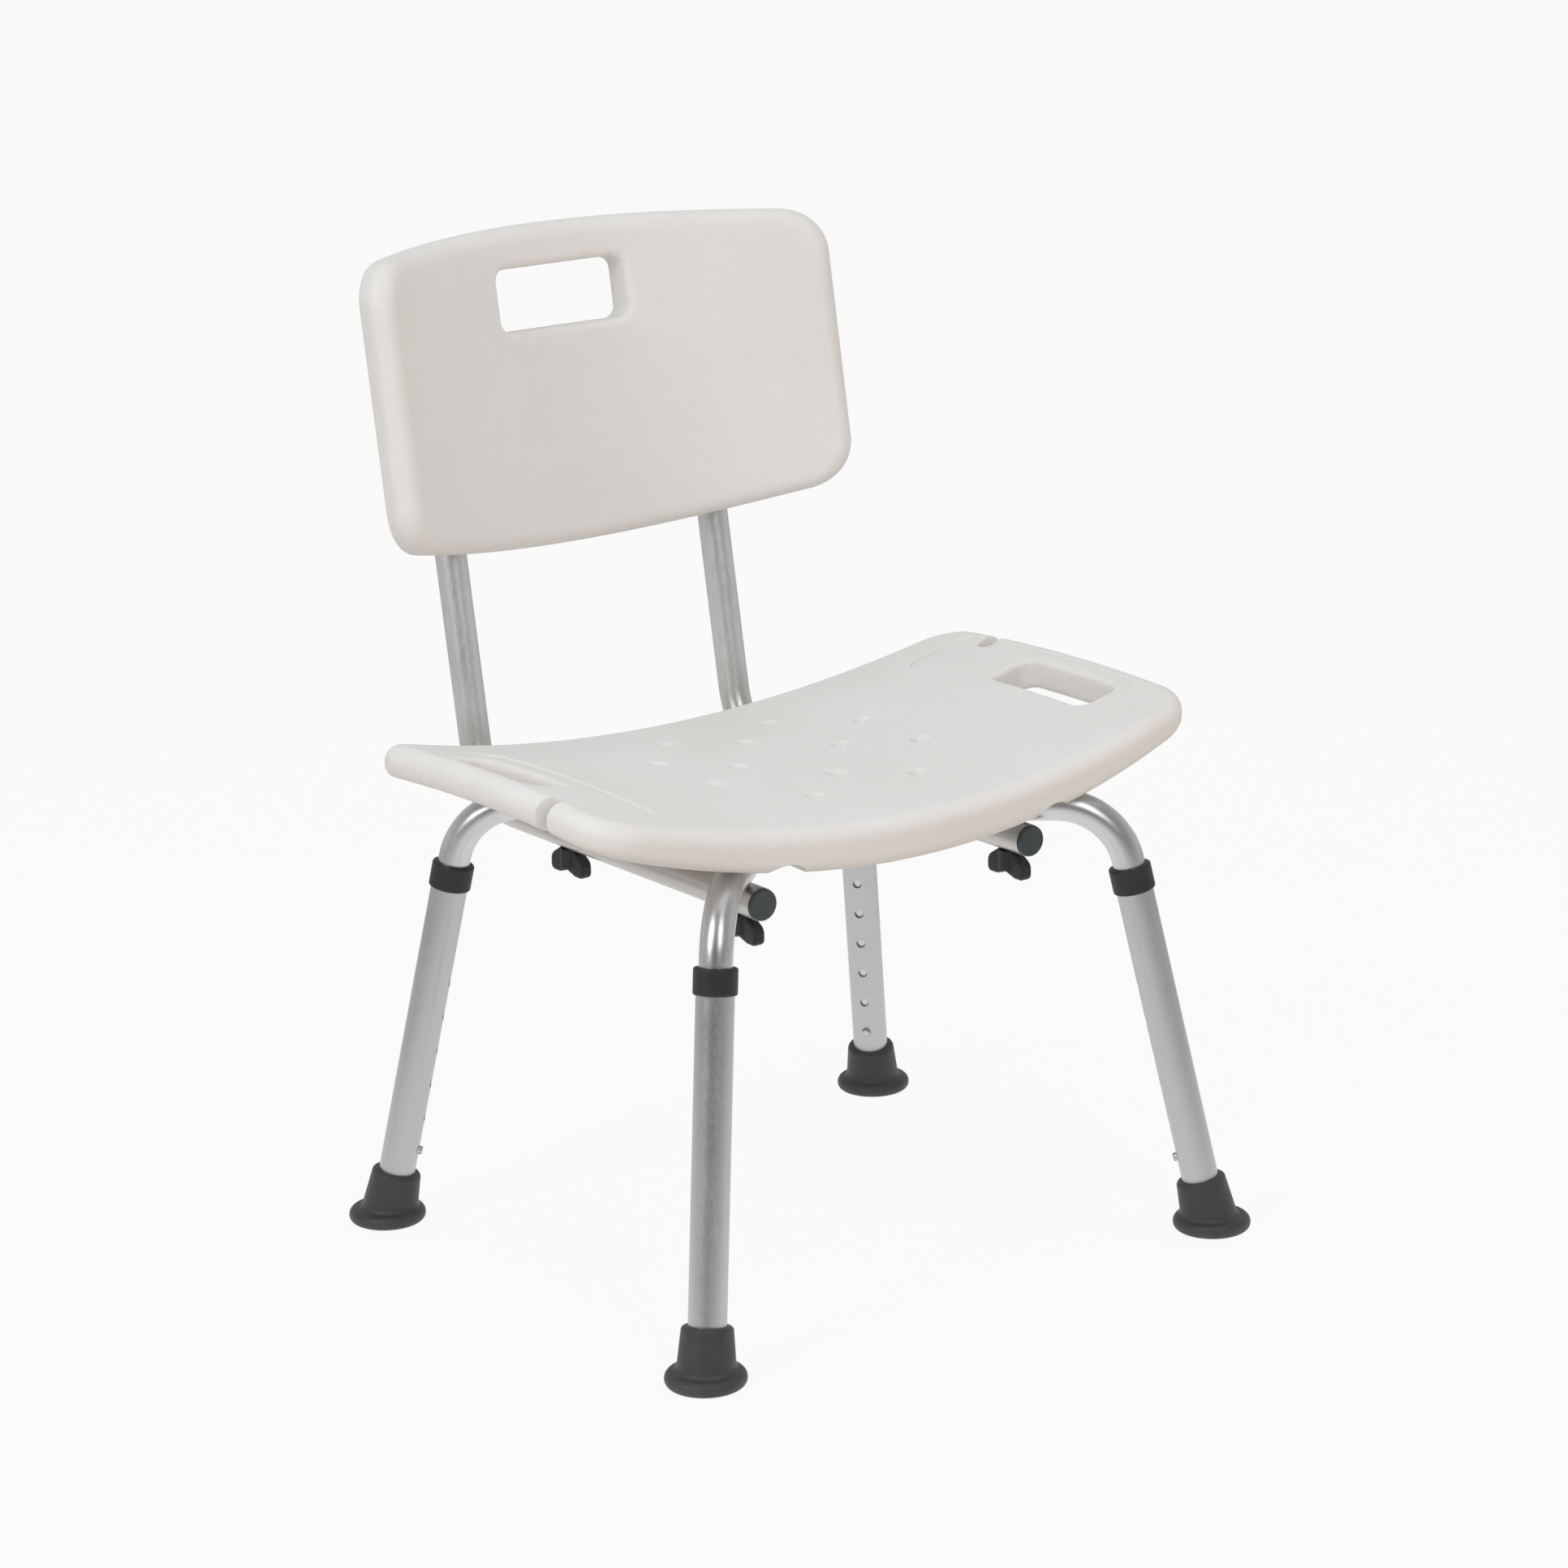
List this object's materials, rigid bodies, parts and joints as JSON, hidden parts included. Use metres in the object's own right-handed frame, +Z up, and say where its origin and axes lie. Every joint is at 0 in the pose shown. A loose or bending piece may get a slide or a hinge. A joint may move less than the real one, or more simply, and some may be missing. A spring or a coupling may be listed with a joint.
{
  "type": "shower chair",
  "caption": "Bath and shower chair with a dished plastic seat, a curved backrest on bent tubes, and telescoping tube legs with rubber tips, snap buttons and wing screws.",
  "frame": {"origin": "middle of the whole chair's box at floor level", "axes": "+X to the right seen from the front, -Y to the front where the sitter faces, +Z up"},
  "size_m": [0.506, 0.5108, 0.6751],
  "materials": {
    "white_plastic": "fine moulded grain, satin",
    "frame_tube": "bright anodised",
    "leg_tube": "satin anodised",
    "black_plastic": "moulded, satin",
    "grey_plastic": "moulded, satin",
    "foot_rubber": "matte moulded",
    "steel": "zinc plated",
    "insert_brass": "turned"
  },
  "bodies": {
    "chair": {"seat_panel": "white_plastic", "backrest_panel": "white_plastic", "backrest_screws": "steel", "backrest_inserts": "insert_brass", "cross_tube_upper": "frame_tube", "cross_tube_lower": "frame_tube", "cross_bolt": "steel", "cross_nut": "steel", "back_tube_left": "frame_tube", "back_tube_right": "frame_tube", "front_plug_left": "grey_plastic", "front_plug_right": "grey_plastic", "top_plug_left": "grey_plastic", "top_plug_right": "grey_plastic", "seat_insert_front_left": "insert_brass", "seat_insert_front_right": "insert_brass", "seat_insert_rear_left": "insert_brass", "seat_insert_rear_right": "insert_brass"},
    "leg_front_left": {"lower_leg_front_left": "leg_tube", "leg_collar_front_left": "black_plastic", "foot_tip_front_left": "foot_rubber", "tip_washer_front_left": "steel"},
    "button_front_left": {"snap_clip_front_left": "steel"},
    "wing_screw_front_left": {"wing_knob_front_left": "black_plastic", "wing_stud_front_left": "steel"},
    "leg_front_right": {"lower_leg_front_right": "leg_tube", "leg_collar_front_right": "black_plastic", "foot_tip_front_right": "foot_rubber", "tip_washer_front_right": "steel"},
    "button_front_right": {"snap_clip_front_right": "steel"},
    "wing_screw_front_right": {"wing_knob_front_right": "black_plastic", "wing_stud_front_right": "steel"},
    "leg_rear_left": {"lower_leg_rear_left": "leg_tube", "leg_collar_rear_left": "black_plastic", "foot_tip_rear_left": "foot_rubber", "tip_washer_rear_left": "steel"},
    "button_rear_left": {"snap_clip_rear_left": "steel"},
    "wing_screw_rear_left": {"wing_knob_rear_left": "black_plastic", "wing_stud_rear_left": "steel"},
    "leg_rear_right": {"lower_leg_rear_right": "leg_tube", "leg_collar_rear_right": "black_plastic", "foot_tip_rear_right": "foot_rubber", "tip_washer_rear_right": "steel"},
    "button_rear_right": {"snap_clip_rear_right": "steel"},
    "wing_screw_rear_right": {"wing_knob_rear_right": "black_plastic", "wing_stud_rear_right": "steel"}
  },
  "joints": [
    {"name": "leg_front_left_slide", "type": "slide", "parent": "chair", "child": "leg_front_left", "axis": [-0.1598, -0.1409, -0.9771], "range_m": [0, 0.127]},
    {"name": "button_front_left_press", "type": "slide", "parent": "chair", "child": "button_front_left", "axis": [-0.7329, -0.6461, 0.213], "range_m": [0, 0.0042], "stiffness_N_per_m": 1500, "deforming": ["snap_clip_front_left"]},
    {"name": "wing_screw_front_left_turn", "type": "hinge", "parent": "chair", "child": "wing_screw_front_left", "pos_m": [-0.1131, -0.13657, 0.27], "axis": [0, 0, 1], "continuous": true},
    {"name": "leg_front_right_slide", "type": "slide", "parent": "chair", "child": "leg_front_right", "axis": [0.1598, -0.1409, -0.9771], "range_m": [0, 0.127]},
    {"name": "button_front_right_press", "type": "slide", "parent": "chair", "child": "button_front_right", "axis": [0.7329, -0.6461, 0.213], "range_m": [0, 0.0042], "stiffness_N_per_m": 1500, "deforming": ["snap_clip_front_right"]},
    {"name": "wing_screw_front_right_turn", "type": "hinge", "parent": "chair", "child": "wing_screw_front_right", "pos_m": [0.1131, -0.13657, 0.27], "axis": [0, 0, 1], "continuous": true},
    {"name": "leg_rear_left_slide", "type": "slide", "parent": "chair", "child": "leg_rear_left", "axis": [-0.1598, 0.1409, -0.9771], "range_m": [0, 0.127]},
    {"name": "button_rear_left_press", "type": "slide", "parent": "chair", "child": "button_rear_left", "axis": [-0.7329, 0.6461, 0.213], "range_m": [0, 0.0042], "stiffness_N_per_m": 1500, "deforming": ["snap_clip_rear_left"]},
    {"name": "wing_screw_rear_left_turn", "type": "hinge", "parent": "chair", "child": "wing_screw_rear_left", "pos_m": [-0.1131, 0.06286, 0.27], "axis": [0, 0, 1], "continuous": true},
    {"name": "leg_rear_right_slide", "type": "slide", "parent": "chair", "child": "leg_rear_right", "axis": [0.1598, 0.1409, -0.9771], "range_m": [0, 0.127]},
    {"name": "button_rear_right_press", "type": "slide", "parent": "chair", "child": "button_rear_right", "axis": [0.7329, 0.6461, 0.213], "range_m": [0, 0.0042], "stiffness_N_per_m": 1500, "deforming": ["snap_clip_rear_right"]},
    {"name": "wing_screw_rear_right_turn", "type": "hinge", "parent": "chair", "child": "wing_screw_rear_right", "pos_m": [0.1131, 0.06286, 0.27], "axis": [0, 0, 1], "continuous": true}
  ]
}
